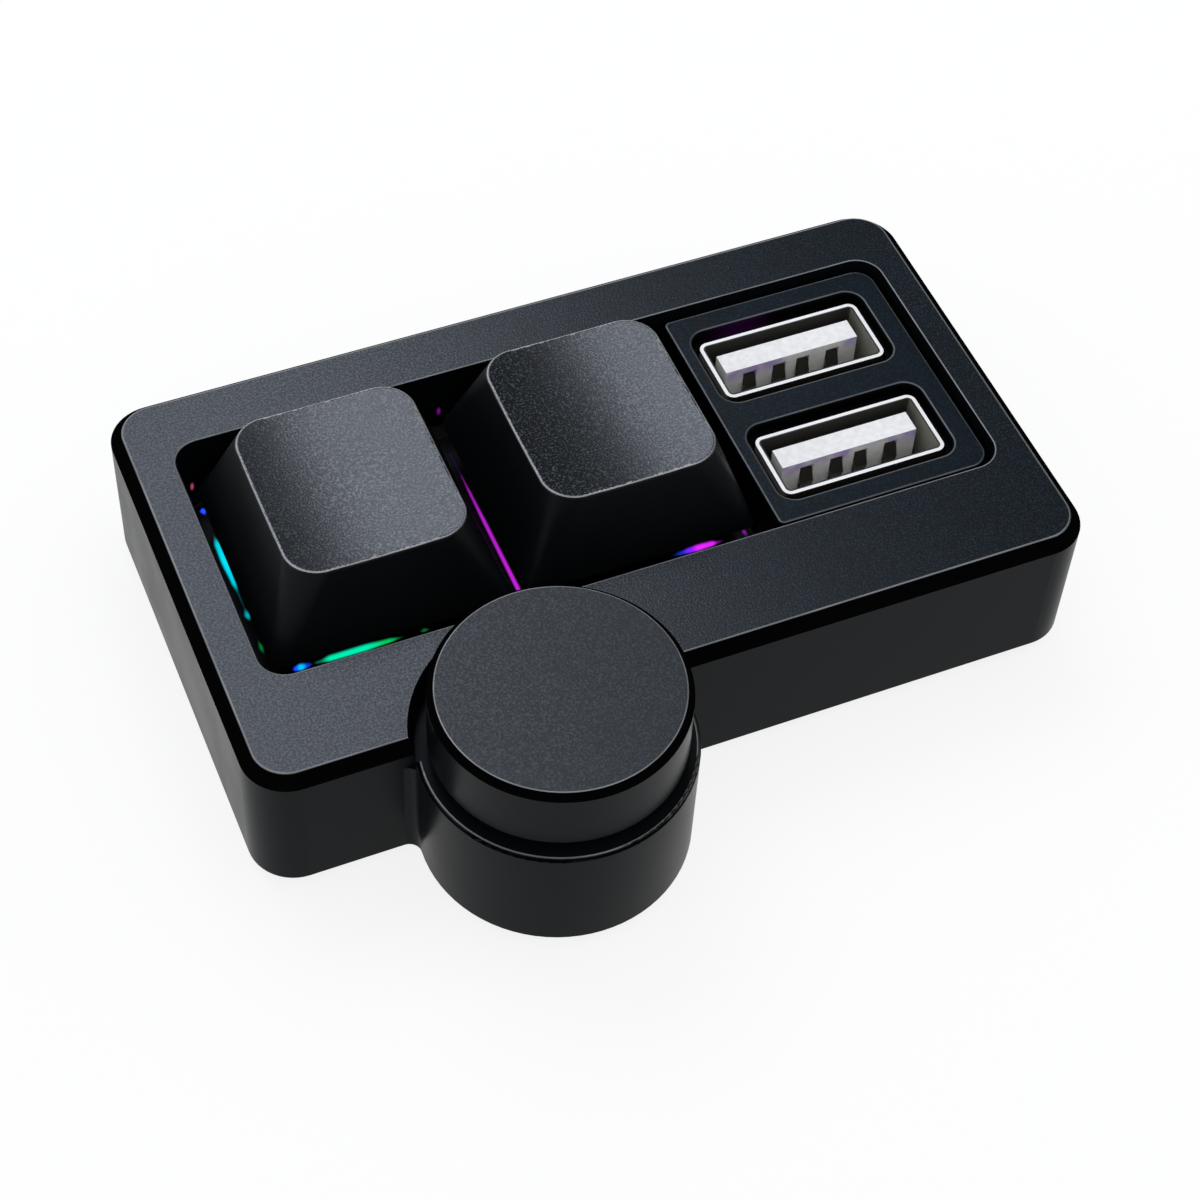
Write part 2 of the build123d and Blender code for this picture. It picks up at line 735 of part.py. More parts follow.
# Both keys, each with its own switch
for side, key in (("left", left_key), ("right", right_key)):
    pins = [(key[0] - contact_spread, key_y + contact_y), (key[0] + contact_spread, key_y + contact_y)]

    # Lower housing, with the spring's pin inside and the locating peg below
    with BuildPart() as switch_base:
        slab([key], switch_body, switch_body, board_top, plate_top)
        slab([key], switch_flange, switch_flange, plate_top, flange_top)
        slab([key], switch_cavity, switch_cavity, switch_floor_top, flange_top, mode=Mode.SUBTRACT)
        disc([key], switch_peg_radius, board_bottom, board_top)
        disc([key], spring_pin_radius, switch_floor_top, switch_floor_top + spring_pin_length)
        slab(
            pins,
            contact_width + 2 * strip_gap,
            contact_thickness + 2 * strip_gap,
            board_top,
            switch_floor_top,
            mode=Mode.SUBTRACT,
        )
    write(switch_base, f"{side}_switch_base")

    # Upper housing, which narrows upwards round the stem
    with BuildPart() as switch_cover:
        with BuildSketch(Plane.XY.offset(flange_top)):
            with Locations(key):
                Rectangle(switch_cover_base, switch_cover_base)
        with BuildSketch(Plane.XY.offset(switch_cover_top)):
            with Locations(key):
                Rectangle(switch_cover_tip, switch_cover_tip)
        loft(ruled=True)
        hollow = switch_cover_tip - 2 * switch_wall
        slab([key], hollow, hollow, flange_top, switch_ceiling, mode=Mode.SUBTRACT)
        disc([key], stem_radius + slide_gap, switch_ceiling, switch_cover_top, Mode.SUBTRACT)
    write(switch_cover, f"{side}_switch_cover")

    # Contact strips, down through the board
    with BuildPart() as switch_contacts:
        slab(pins, contact_width, contact_thickness, pin_bottom, switch_floor_top + contact_rise)
    write(switch_contacts, f"{side}_switch_contacts")

    # Coil spring between the housing's floor and the stem
    with BuildPart() as switch_spring:
        with BuildLine():
            coil_start = coil(key, coil_radius, coil_low, coil_high, spring_turns)
        with BuildSketch(coil_start):
            Circle(spring_wire / 2)
        sweep()
    write(switch_spring, f"{side}_switch_spring")

    # Stem with its collar, shoulder and cross
    with BuildPart() as switch_stem:
        collar_bottom = switch_ceiling - stem_collar_thickness
        slab([key], stem_collar_size, stem_collar_size, collar_bottom, switch_ceiling)
        disc([key], stem_radius, switch_ceiling, stem_shoulder)
        disc([key], spring_bore_radius, collar_bottom, spring_seat, Mode.SUBTRACT)
        cross_top = keycap_ceiling - stem_cross_drop
        slab([key], stem_cross_length, stem_cross_width, stem_shoulder, cross_top)
        slab([key], stem_cross_width, stem_cross_length, stem_shoulder, cross_top)
    write(switch_stem, f"{side}_switch_stem")

    # Keycap: tapered, hollow, slightly dished, with a slotted post for the cross
    with BuildPart() as keycap:
        with BuildSketch(Plane.XY.offset(keycap_bottom)):
            with Locations(key):
                RectangleRounded(key_base, key_base, keycap_base_radius)
        with BuildSketch(Plane.XY.offset(keycap_top)):
            with Locations(key):
                RectangleRounded(keycap_top_width, keycap_top_depth, keycap_top_radius)
        loft(ruled=True)
        dish_reach = math.hypot(keycap_top_width, keycap_top_depth) / 2
        dish_radius = (dish_reach**2 + keycap_dish**2) / (2 * keycap_dish)
        with Locations((key[0], key[1], keycap_top - keycap_dish + dish_radius)):
            Sphere(dish_radius, mode=Mode.SUBTRACT)
        fillet(keycap.faces().sort_by(Axis.Z)[-1].edges(), keycap_edge_radius)
        ceiling_share = (keycap_ceiling - keycap_bottom) / keycap_height
        ceiling_width = key_base + (keycap_top_width - key_base) * ceiling_share - 2 * keycap_wall
        ceiling_depth = key_base + (keycap_top_depth - key_base) * ceiling_share - 2 * keycap_wall
        skirt = key_base - 2 * keycap_wall
        with BuildSketch(Plane.XY.offset(keycap_bottom)):
            with Locations(key):
                RectangleRounded(skirt, skirt, keycap_base_radius)
        with BuildSketch(Plane.XY.offset(keycap_ceiling)):
            with Locations(key):
                RectangleRounded(ceiling_width, ceiling_depth, keycap_base_radius)
        loft(ruled=True, mode=Mode.SUBTRACT)
        disc([key], keycap_post_radius, stem_shoulder, keycap_ceiling)
        slot_length = stem_cross_length + 2 * strip_gap
        slot_width = stem_cross_width + 2 * strip_gap
        slab([key], slot_length, slot_width, stem_shoulder, keycap_ceiling, mode=Mode.SUBTRACT)
        slab([key], slot_width, slot_length, stem_shoulder, keycap_ceiling, mode=Mode.SUBTRACT)
    write(keycap, f"{side}_keycap")

# Hub panel with a recess and an opening for each socket, and a wall beside the keys
with BuildPart() as hub_panel:
    slab([panel_middle], panel_width, panel_depth, panel_bottom, panel_top)
    fillet(hub_panel.edges().filter_by(Axis.Z).group_by(Axis.X)[-1], panel_corner_radius)
    fillet(hub_panel.edges().filter_by(Axis.Z).group_by(Axis.X)[0], panel_left_radius)
    fillet(hub_panel.faces().sort_by(Axis.Z)[-1].edges(), panel_edge_radius)
    slab(
        [front_usb, rear_usb],
        port_width,
        port_depth,
        panel_top - port_recess,
        panel_top,
        port_corner_radius,
        Mode.SUBTRACT,
    )
    rims = hub_panel.faces().filter_by(Axis.Z).sort_by(Axis.Z)[-1].inner_wires()
    fillet([edge for rim in rims for edge in rim.edges()], panel_edge_radius)
    slab(
        [front_usb, rear_usb],
        usb_shell_width + 2 * socket_gap,
        usb_shell_depth + 2 * socket_gap,
        panel_bottom,
        panel_top,
        usb_corner_radius,
        Mode.SUBTRACT,
    )
    wall_front = key_y - panel_depth / 2 + panel_left_radius
    wall_back = key_y + panel_depth / 2 - panel_left_radius
    span(panel_left, panel_left + panel_left_margin, wall_front, wall_back, plate_top, panel_bottom)
write(hub_panel, "hub_panel")

# Upright sockets: folded shell, plastic tongue and four contact springs each
for side, port in (("front", front_usb), ("rear", rear_usb)):
    opening_back = port[1] + usb_opening_depth / 2
    opening_front = port[1] - usb_opening_depth / 2
    tongue_back = opening_back - usb_tongue_back_gap
    tongue_front = tongue_back - usb_tongue_thickness
    tongue_tip = usb_rim - usb_tongue_tip_drop
    base_top = cover_top + usb_base_height
    contact_tip = tongue_tip - usb_contact_tip_drop
    contact_columns = [
        port[0] + offset
        for offset in (-usb_contact_outer, -usb_contact_inner, usb_contact_inner, usb_contact_outer)
    ]

    with BuildPart() as usb_shell:
        slab([port], usb_shell_width, usb_shell_depth, cover_top, usb_rim, usb_corner_radius)
        inner_radius = usb_corner_radius - usb_sheet
        slab(
            [port], usb_opening_width, usb_opening_depth, cover_top, usb_rim, inner_radius, Mode.SUBTRACT
        )
        ear_shift = (usb_shell_width + usb_ear_length) / 2
        slab(
            [(port[0] - ear_shift, port[1]), (port[0] + ear_shift, port[1])],
            usb_ear_length,
            usb_ear_width,
            board_top,
            board_top + usb_sheet,
        )
    write(usb_shell, f"{side}_usb_shell")

    with BuildPart() as usb_tongue:
        base_width = usb_opening_width - 2 * strip_gap
        base_depth = usb_opening_depth - 2 * strip_gap
        slab([port], base_width, base_depth, cover_top, base_top, inner_radius)
        span(
            port[0] - usb_tongue_width / 2,
            port[0] + usb_tongue_width / 2,
            tongue_front,
            tongue_back,
            base_top,
            tongue_tip,
        )
        channel_width = usb_contact_width + 2 * strip_gap
        slab(
            [(column, tongue_front + usb_channel_depth / 2) for column in contact_columns],
            channel_width,
            usb_channel_depth,
            base_top,
            contact_tip + usb_contact_bow,
            mode=Mode.SUBTRACT,
        )
    write(usb_tongue, f"{side}_usb_tongue")

    with BuildPart() as usb_contacts:
        strip_back = tongue_front + usb_channel_depth
        strip_front = strip_back - usb_contact_thickness
        bow_z = contact_tip - usb_contact_tip_drop
        bow_foot = bow_z - 2 * usb_contact_tip_drop
        for column in contact_columns:
            with BuildSketch(Plane.YZ.offset(column - usb_contact_width / 2)):
                with BuildLine():
                    Polyline(
                        (strip_back, base_top),
                        (strip_back, bow_foot),
                        (strip_back - usb_contact_bow, bow_z),
                        (strip_back, contact_tip),
                        (strip_front, contact_tip),
                        (strip_front - usb_contact_bow, bow_z),
                        (strip_front, bow_foot),
                        (strip_front, base_top),
                        close=True,
                    )
                make_face()
            extrude(amount=usb_contact_width)
    write(usb_contacts, f"{side}_usb_contacts")

# Cable inlet: shell and the block that carries its tongue
with BuildPart() as usb_c_shell:
    with BuildSketch(Plane.XZ.offset(-inlet_mouth)):
        with Locations((usb_x, inlet_z)):
            RectangleRounded(inlet_width, inlet_height, inlet_corner_radius)
            RectangleRounded(
                inlet_width - 2 * inlet_sheet,
                inlet_height - 2 * inlet_sheet,
                inlet_corner_radius - inlet_sheet,
                mode=Mode.SUBTRACT,
            )
    extrude(amount=inlet_length)
write(usb_c_shell, "usb_c_shell")

with BuildPart() as usb_c_tongue:
    with BuildSketch(Plane.XZ.offset(-inlet_inner_end)):
        with Locations((usb_x, inlet_z)):
            RectangleRounded(
                inlet_width - 2 * (inlet_sheet + strip_gap),
                inlet_height - 2 * (inlet_sheet + strip_gap),
                inlet_corner_radius - inlet_sheet - strip_gap,
            )
    extrude(amount=-inlet_block_length)
    with BuildSketch(Plane.XZ.offset(-inlet_inner_end - inlet_block_length)):
        with Locations((usb_x, inlet_z)):
            Rectangle(inlet_tongue_width, inlet_tongue_thickness)
    extrude(amount=-inlet_tongue_length)
write(usb_c_tongue, "usb_c_tongue")

# Encoder under the knob: base, metal frame with its bushing, and pins
with BuildPart() as encoder_base:
    slab([knob_axis], encoder_width, encoder_width, board_top, encoder_top)
    well = plunger_size + 2 * slide_gap
    slab([knob_axis], well, well, encoder_floor_top, plunger_well_top, mode=Mode.SUBTRACT)
    disc([knob_axis], rotor_radius + slide_gap, plunger_well_top, encoder_top, Mode.SUBTRACT)
write(encoder_base, "encoder_base")

with BuildPart() as encoder_frame:
    frame_width = encoder_width + 2 * encoder_side
    slab([knob_axis], frame_width, encoder_width, encoder_top, encoder_frame_top)
    side_shift = (encoder_width + encoder_side) / 2
    slab(
        [(knob_axis[0] - side_shift, knob_axis[1]), (knob_axis[0] + side_shift, knob_axis[1])],
        encoder_side,
        encoder_side_length,
        board_top,
        encoder_top,
    )
    disc([knob_axis], bushing_radius, encoder_frame_top, bushing_top)
    disc([knob_axis], shaft_radius + running_gap, encoder_top, bushing_top, Mode.SUBTRACT)
write(encoder_frame, "encoder_frame")

with BuildPart() as encoder_pin_set:
    slab(encoder_pins, contact_width, contact_thickness, pin_bottom, board_top)
write(encoder_pin_set, "encoder_pins")

# Snap dome under the plunger: a thin spherical cap
with BuildPart() as encoder_dome:
    outer_radius = (dome_radius**2 + dome_height**2) / (2 * dome_height)
    inner_height = dome_height - dome_sheet
    inner_reach = dome_radius - dome_sheet
    inner_radius = (inner_reach**2 + inner_height**2) / (2 * inner_height)
    dome_top = encoder_floor_top + dome_height
    with Locations((*knob_axis, dome_top - outer_radius)):
        Sphere(outer_radius)
    with Locations((*knob_axis, dome_top - dome_sheet - inner_radius)):
        Sphere(inner_radius, mode=Mode.SUBTRACT)
    disc([knob_axis], dome_radius, encoder_floor_top, dome_top, Mode.INTERSECT)
write(encoder_dome, "encoder_dome")

# Plunger that slides in the base's square well
with BuildPart() as encoder_plunger:
    slab([knob_axis], plunger_size, plunger_size, plunger_bottom, plunger_top)
write(encoder_plunger, "encoder_plunger")

# Shaft with its rotor below and its D-shaped end above
with BuildPart() as encoder_shaft:
    shaft_bottom = plunger_top + running_gap
    shaft_top = knob_ceiling - shaft_top_gap
    hub_bottom = knob_bottom + knob_hub_lift
    disc([knob_axis], shaft_radius, shaft_bottom, hub_bottom)
    disc([knob_axis], rotor_radius, rotor_bottom, rotor_top)
    with BuildSketch(Plane.XY.offset(hub_bottom)):
        d_section(knob_axis, shaft_radius, shaft_flat)
    extrude(amount=shaft_top - hub_bottom)
write(encoder_shaft, "encoder_shaft")

# Knob: chamfered cup with a hub for the shaft
with BuildPart() as knob:
    disc([knob_axis], knob_radius, knob_bottom, knob_top)
    chamfer(knob.edges().group_by(Axis.Z)[-1], knob_chamfer)
    fillet(knob.edges().group_by(Axis.Z)[-1], knob_edge_radius)
    disc([knob_axis], knob_radius - knob_wall, knob_bottom, knob_ceiling, Mode.SUBTRACT)
    disc([knob_axis], shaft_radius + knob_hub_wall, hub_bottom, knob_ceiling)
    with BuildSketch(Plane.XY.offset(hub_bottom)):
        d_section(knob_axis, shaft_radius + press_gap, shaft_flat)
    extrude(amount=knob_ceiling - hub_bottom, mode=Mode.SUBTRACT)
write(knob, "knob")
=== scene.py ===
import json
import math

import bpy
from mathutils import Matrix, Vector


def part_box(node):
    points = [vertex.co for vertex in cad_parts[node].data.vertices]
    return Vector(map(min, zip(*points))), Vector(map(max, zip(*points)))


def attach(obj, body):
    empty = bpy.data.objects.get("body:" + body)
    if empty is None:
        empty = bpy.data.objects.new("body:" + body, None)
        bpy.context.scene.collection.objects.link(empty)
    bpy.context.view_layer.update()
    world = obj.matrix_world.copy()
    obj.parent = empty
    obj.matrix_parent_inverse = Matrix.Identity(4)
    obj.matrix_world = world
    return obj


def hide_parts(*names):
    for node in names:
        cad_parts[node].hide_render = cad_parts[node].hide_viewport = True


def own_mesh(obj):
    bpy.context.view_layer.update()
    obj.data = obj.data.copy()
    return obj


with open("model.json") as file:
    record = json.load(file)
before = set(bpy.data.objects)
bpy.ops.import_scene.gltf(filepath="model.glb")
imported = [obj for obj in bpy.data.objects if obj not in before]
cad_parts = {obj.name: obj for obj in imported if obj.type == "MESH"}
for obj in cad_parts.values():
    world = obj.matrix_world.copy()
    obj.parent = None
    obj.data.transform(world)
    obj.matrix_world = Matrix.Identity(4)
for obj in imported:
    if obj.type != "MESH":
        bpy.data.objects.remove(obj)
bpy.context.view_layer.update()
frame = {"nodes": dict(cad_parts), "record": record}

# Looks of the macro keypad: finishes for every piece, a pale studio and the camera.
# Lengths are in metres, apart from the stops of the streaks and the camera's lens and sensor.

MM = 0.001
nodes = frame["nodes"]
record_slots = {part["node"]: part["material_slot"] for part in frame["record"]["subparts"]}

# Corners of the boxes that places on the object are taken from
guide_low, guide_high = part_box("light_guide")
left_key_low, left_key_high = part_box("left_keycap")
right_key_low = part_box("right_keycap")[0]
rear_socket_low, rear_socket_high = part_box("rear_usb_shell")
panel_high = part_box("hub_panel")[1]

# Levels between which most of a noise lies
NOISE_SPAN = (0.3, 0.7)

# Sockets of a Mix node for its share, its two colours and their blend
MIX_SHARE = 0
MIX_FIRST = 6
MIX_SECOND = 7
MIX_BLEND = 2

BLACK = (0.0, 0.0, 0.0, 1.0)
WHITE = (1.0, 1.0, 1.0, 1.0)

# Colours of the light under the keys
OFF = (0.0, 0.0, 0.0)
PINK = (1.0, 0.15, 0.4)
BLUE = (0.01, 0.06, 1.0)
AZURE = (0.0, 0.5, 1.0)
CYAN = (0.0, 0.62, 0.75)
MINT = (0.0, 0.8, 0.42)
GREEN = (0.0, 0.75, 0.14)
VIOLET = (0.2, 0.01, 1.0)
MAGENTA = (0.7, 0.02, 0.9)


# Colour helpers

def grey(level, blue=1.0):
    """A near-neutral colour, with its blue a little up or down."""
    return (level, level * (1 + blue) / 2, level * blue, 1.0)


def scaled(colour, factor):
    """A colour made lighter or darker."""
    return tuple(factor * part for part in colour[:3]) + (1.0,)


# Node helpers

def connect(tree, socket, value):
    """Links a socket to another socket, or sets it to a plain value."""
    if isinstance(value, bpy.types.NodeSocket):
        tree.links.new(value, socket)
    else:
        socket.default_value = value


def add_node(tree, kind, settings=None, inputs=None):
    """A shader node with its settings, and its inputs set to a value or linked to a socket."""
    node = tree.nodes.new(kind)
    for name, value in (settings or {}).items():
        setattr(node, name, value)
    for name, value in (inputs or {}).items():
        connect(tree, node.inputs[name], value)
    return node


def calculate(tree, operation, first, second=0.0):
    """The result of one Math node."""
    node = add_node(tree, "ShaderNodeMath", {"operation": operation}, {0: first, 1: second})
    return node.outputs[0]


def remap(tree, value, low, high, to_low=0.0, to_high=1.0):
    """A value carried smoothly from one span to another, held at both ends."""
    node = add_node(
        tree,
        "ShaderNodeMapRange",
        {"interpolation_type": "SMOOTHSTEP"},
        {"Value": value, "From Min": low, "From Max": high, "To Min": to_low, "To Max": to_high},
    )
    return node.outputs["Result"]


def drift(tree, noise, value, low_share, high_share, span=NOISE_SPAN):
    """A value that drifts with a noise between two shares of itself."""
    return remap(tree, noise, *span, value * low_share, value * high_share)


def blend_colours(tree, share, first, second, blend="MIX"):
    """Two colours mixed by a share."""
    node = add_node(
        tree,
        "ShaderNodeMix",
        {"data_type": "RGBA", "blend_type": blend},
        {MIX_SHARE: share, MIX_FIRST: first, MIX_SECOND: second},
    )
    return node.outputs[MIX_BLEND]


def split(tree, vector):
    """The X, Y and Z of a vector."""
    return add_node(tree, "ShaderNodeSeparateXYZ", None, {"Vector": vector}).outputs


def object_place(tree):
    """The place on the object, in its own frame."""
    return add_node(tree, "ShaderNodeTexCoord").outputs["Object"]


def facing(tree, kind="True Normal"):
    """The X, Y and Z of the way a surface faces."""
    return split(tree, add_node(tree, "ShaderNodeNewGeometry").outputs[kind])


def grain(tree, size, detail, stretch=None):
    """Fine noise whose features are about one size across, from 0 to 1."""
    place = object_place(tree)
    if stretch:
        mapping = {"Vector": place, "Scale": stretch}
        place = add_node(tree, "ShaderNodeMapping", None, mapping).outputs[0]
    inputs = {"Vector": place, "Scale": 1 / size, "Detail": detail}
    return add_node(tree, "ShaderNodeTexNoise", None, inputs).outputs["Fac"]


def raised(tree, height, relief, depth, base=None):
    """A normal bumped by a height, on top of another normal where one is given."""
    inputs = {"Height": height, "Strength": relief, "Distance": depth}
    if base is not None:
        inputs["Normal"] = base
    return add_node(tree, "ShaderNodeBump", None, inputs).outputs["Normal"]


def hollowed(tree, normal, middle, slope):
    """A normal turned as if by a hollow from side to side, which bottoms out at a middle along X.
    The slope is the one that the hollow would have at one metre from its middle."""
    offset = calculate(tree, "SUBTRACT", split(tree, object_place(tree))["X"], middle)
    height = calculate(tree, "MULTIPLY", calculate(tree, "MULTIPLY", offset, offset), slope / 2)
    return raised(tree, height, relief=1.0, depth=1.0, base=normal)


def upright_spot(tree, spot, reach):
    """1 at a spot, fading out over its reach, and sooner from side to side."""
    slimness = (2.2, 1.0, 0.9)
    place = add_node(
        tree, "ShaderNodeVectorMath", {"operation": "MULTIPLY"}, {0: object_place(tree), 1: slimness}
    ).outputs["Vector"]
    centre = [part * share for part, share in zip(spot, slimness)]
    distance = add_node(
        tree, "ShaderNodeVectorMath", {"operation": "DISTANCE"}, {0: place, 1: centre}
    ).outputs["Value"]
    return remap(tree, distance, 0.0, reach, 1.0, 0.0)


def outline_depth(tree, low, high, radius):
    """How far inside a rounded rectangle a place lies, seen from above."""
    axes = split(tree, object_place(tree))
    beyond = []
    for axis, start, end in (("X", low.x, high.x), ("Y", low.y, high.y)):
        offset = calculate(tree, "ABSOLUTE", calculate(tree, "SUBTRACT", axes[axis], (start + end) / 2))
        beyond.append(calculate(tree, "SUBTRACT", offset, (end - start) / 2 - radius))
    squares = []
    for part in beyond:
        outside = calculate(tree, "MAXIMUM", part, 0.0)
        squares.append(calculate(tree, "MULTIPLY", outside, outside))
    corner = calculate(tree, "SQRT", calculate(tree, "ADD", *squares))
    straight = calculate(tree, "MINIMUM", calculate(tree, "MAXIMUM", *beyond), 0.0)
    return calculate(tree, "SUBTRACT", radius, calculate(tree, "ADD", corner, straight))


# Shader helpers

def shader_of(tree):
    """The Principled shader of a material's tree."""
    return next(node for node in tree.nodes if node.type == "BSDF_PRINCIPLED")


def new_finish(name):
    """An empty material with one Principled shader: returns the material, its tree and the shader."""
    material = bpy.data.materials.new(name)
    material.use_nodes = True
    tree = material.node_tree
    return material, tree, shader_of(tree)


def paint(tree, shader, colour, rough, specular, normal):
    """Gives a shader its colour, roughness, specular level and normal."""
    connect(tree, shader.inputs["Base Color"], colour)
    connect(tree, shader.inputs["Roughness"], rough)
    connect(tree, shader.inputs["Specular IOR Level"], specular)
    connect(tree, shader.inputs["Normal"], normal)


def glow(tree, shader, colour, strength):
    """Makes a shader give light."""
    connect(tree, shader.inputs["Emission Color"], colour)
    connect(tree, shader.inputs["Emission Strength"], strength)


def repaint(material, share, colour):
    """Mixes a colour by a share over the one that a finish has."""
    tree = material.node_tree
    base = shader_of(tree).inputs["Base Color"]
    own = base.links[0].from_socket
    connect(tree, base, blend_colours(tree, share, own, colour))


# Kinds of finish

def grained_plastic(name, colour, rough, specular, pale, uneven, relief, scoop=None):
    """Spark-eroded plastic: pale specks on a darker ground, with broad patches of shade.
    Pale scales the colour of the specks, and uneven the roughness of the ground.
    A scoop gives the middle and slope of a hollow in the sheen."""
    speck_size = 0.16 * MM
    speck_span = (0.45, 0.75)
    speck_roughness = 0.8
    ground_level = 0.5
    shade_size = 7 * MM
    shade_level = 0.4
    deepest_shade = 0.2
    grain_depth = 0.03 * MM
    material, tree, shader = new_finish(name)
    fine = grain(tree, speck_size, detail=1.0)
    broad = grain(tree, shade_size, detail=2.0)
    specks = remap(tree, fine, *speck_span)
    speckled = blend_colours(tree, specks, scaled(colour, ground_level), scaled(colour, pale))
    shade = remap(tree, broad, *NOISE_SPAN, 0.0, deepest_shade)
    normal = raised(tree, fine, relief, grain_depth)
    if scoop:
        normal = hollowed(tree, normal, *scoop)
    paint(
        tree,
        shader,
        colour=blend_colours(tree, shade, speckled, scaled(colour, shade_level)),
        rough=drift(tree, fine, rough, uneven, speck_roughness),
        specular=specular,
        normal=normal,
    )
    return material


def highlit_edge(name, colour, highlight_from, right_highlight_share):
    """Rounded edge of a grained face: a painted highlight, a patchy pale line where it turns up, and
    painted shade, near-black, below it.
    Edges that look to the right, away from the left softbox, keep only a share of the painted highlight."""
    dark = grey(0.0015)
    patch_size = 3 * MM
    dull_level = 0.7
    nick_size = 0.3 * MM
    nick_depth = 0.01 * MM
    highlight_fade = 0.06
    rightward_span = (0.05, 0.4)
    edge_roughness = 0.3
    material, tree, shader = new_finish(name)
    patches = grain(tree, patch_size, detail=3.0)
    nicks = grain(tree, nick_size, detail=2.0)
    highlight_colour = blend_colours(tree, remap(tree, patches, *NOISE_SPAN), scaled(colour, dull_level), colour)
    ways = facing(tree, "Normal")
    line = remap(tree, ways["Z"], highlight_from - highlight_fade, highlight_from + highlight_fade)
    highlight_kept = remap(tree, ways["X"], *rightward_span, 1.0, right_highlight_share)
    paint(
        tree,
        shader,
        colour=blend_colours(tree, calculate(tree, "MULTIPLY", line, highlight_kept), dark, highlight_colour),
        rough=drift(tree, nicks, edge_roughness, low_share=0.8, high_share=1.3),
        specular=0.3,
        normal=raised(tree, nicks, relief=0.1, depth=nick_depth),
    )
    return material


def smooth_wall(name, colour, rough, specular, spills=()):
    """Smooth moulded wall, faintly cloudy where it was drawn from the mould.
    Spills are spots of stray light: (place, reach, colour)."""
    cloud_size = 5 * MM
    dark_cloud_level = 0.8
    pale_cloud_level = 1.2
    mark_size = 0.12 * MM
    mark_stretch = (1.0, 1.0, 0.4)
    mark_depth = 0.01 * MM
    material, tree, shader = new_finish(name)
    clouds = grain(tree, cloud_size, detail=3.0)
    marks = grain(tree, mark_size, detail=2.0, stretch=mark_stretch)
    dark, pale = scaled(colour, dark_cloud_level), scaled(colour, pale_cloud_level)
    paint(
        tree,
        shader,
        colour=blend_colours(tree, clouds, dark, pale),
        rough=drift(tree, clouds, rough, low_share=0.92, high_share=1.08),
        specular=specular,
        normal=raised(tree, marks, relief=0.06, depth=mark_depth),
    )
    if spills:
        lit = BLACK
        for place, reach, light in spills:
            lit = blend_colours(tree, upright_spot(tree, place, reach), lit, light)
        glow(tree, shader, lit, 1.0)
    return material


def plain_moulded(name, colour, rough, specular=0.4, grain_size=0.2 * MM, relief=0.2):
    """Plastic, rubber, ceramic, laminate or painted metal with a faint, even grain."""
    mottle_span = (0.2, 0.8)
    mottle_shares = (0.2, 0.8)
    dark_level = 0.75
    patch_size = 3 * MM
    grain_depth = 0.02 * MM
    material, tree, shader = new_finish(name)
    fine = grain(tree, grain_size, detail=3.0)
    broad = grain(tree, patch_size, detail=2.0)
    mottle = remap(tree, fine, *mottle_span, *mottle_shares)
    paint(
        tree,
        shader,
        colour=blend_colours(tree, mottle, scaled(colour, dark_level), colour),
        rough=drift(tree, broad, rough, low_share=0.88, high_share=1.12),
        specular=specular,
        normal=raised(tree, fine, relief, grain_depth),
    )
    return material


def metal(name, colour, rough, brush=None, relief=0.08, metallic=1.0):
    """Plated or brushed metal: fine scratches, drawn out where there is a brush, and uneven polish."""
    scratch_size = 0.12 * MM
    scratch_span = (0.25, 0.75)
    scratch_depth = 0.004 * MM
    cloud_size = 1.6 * MM
    dull_level = 0.85
    material, tree, shader = new_finish(name)
    scratches = grain(tree, scratch_size, detail=4.0, stretch=brush)
    clouds = grain(tree, cloud_size, detail=3.0)
    paint(
        tree,
        shader,
        colour=blend_colours(tree, clouds, scaled(colour, dull_level), colour),
        rough=drift(tree, scratches, rough, low_share=0.8, high_share=1.2, span=scratch_span),
        specular=0.5,
        normal=raised(tree, scratches, relief, scratch_depth),
    )
    shader.inputs["Metallic"].default_value = metallic
    return material


def dark_plastic(name, grain_size, levels, rough_span, relief):
    """Dark plastic that is to be lit: returns the material, its tree and the shader."""
    grain_depth = 0.02 * MM
    material, tree, shader = new_finish(name)
    fine = grain(tree, grain_size, detail=3.0)
    low_level, high_level = levels
    paint(
        tree,
        shader,
        colour=blend_colours(tree, fine, grey(low_level), grey(high_level)),
        rough=remap(tree, fine, *NOISE_SPAN, *rough_span),
        specular=0.1,
        normal=raised(tree, fine, relief, grain_depth),
    )
    return material, tree, shader


# Sockets

socket_corner_radius = 0.7 * MM
# Width of the painted highlight on a rim's outer lip; inside it the rim is painted shade
highlit_lip = 0.27 * MM
lip_fade_out = 0.02 * MM
lip_fade_in = 0.04 * MM
rim_tolerance = 0.01 * MM


def tongue_finish():
    """White tongue of a socket, with a violet cast of stray light just below its tip."""
    white = (0.93, 0.93, 0.93, 1.0)
    violet_cast = (0.5, 0.38, 0.75, 1.0)
    frontward_span = (-0.9, -0.5)
    cast_start = 1.6 * MM
    cast_end = 0.3 * MM
    patch_size = 2 * MM
    patch_span = (0.4, 0.65)
    material = plain_moulded(
        "socket_tongue", white, rough=0.32, specular=0.5, grain_size=0.5 * MM, relief=0.05
    )
    tree = material.node_tree
    front = remap(tree, facing(tree)["Y"], *frontward_span, 1.0, 0.0)
    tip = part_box("front_usb_tongue")[1].z
    height = split(tree, object_place(tree))["Z"]
    near_tip = remap(tree, height, tip - cast_start, tip - cast_end)
    patches = remap(tree, grain(tree, patch_size, detail=2.0), *patch_span)
    cast = calculate(tree, "MULTIPLY", calculate(tree, "MULTIPLY", front, near_tip), patches)
    repaint(material, cast, violet_cast)
    return material


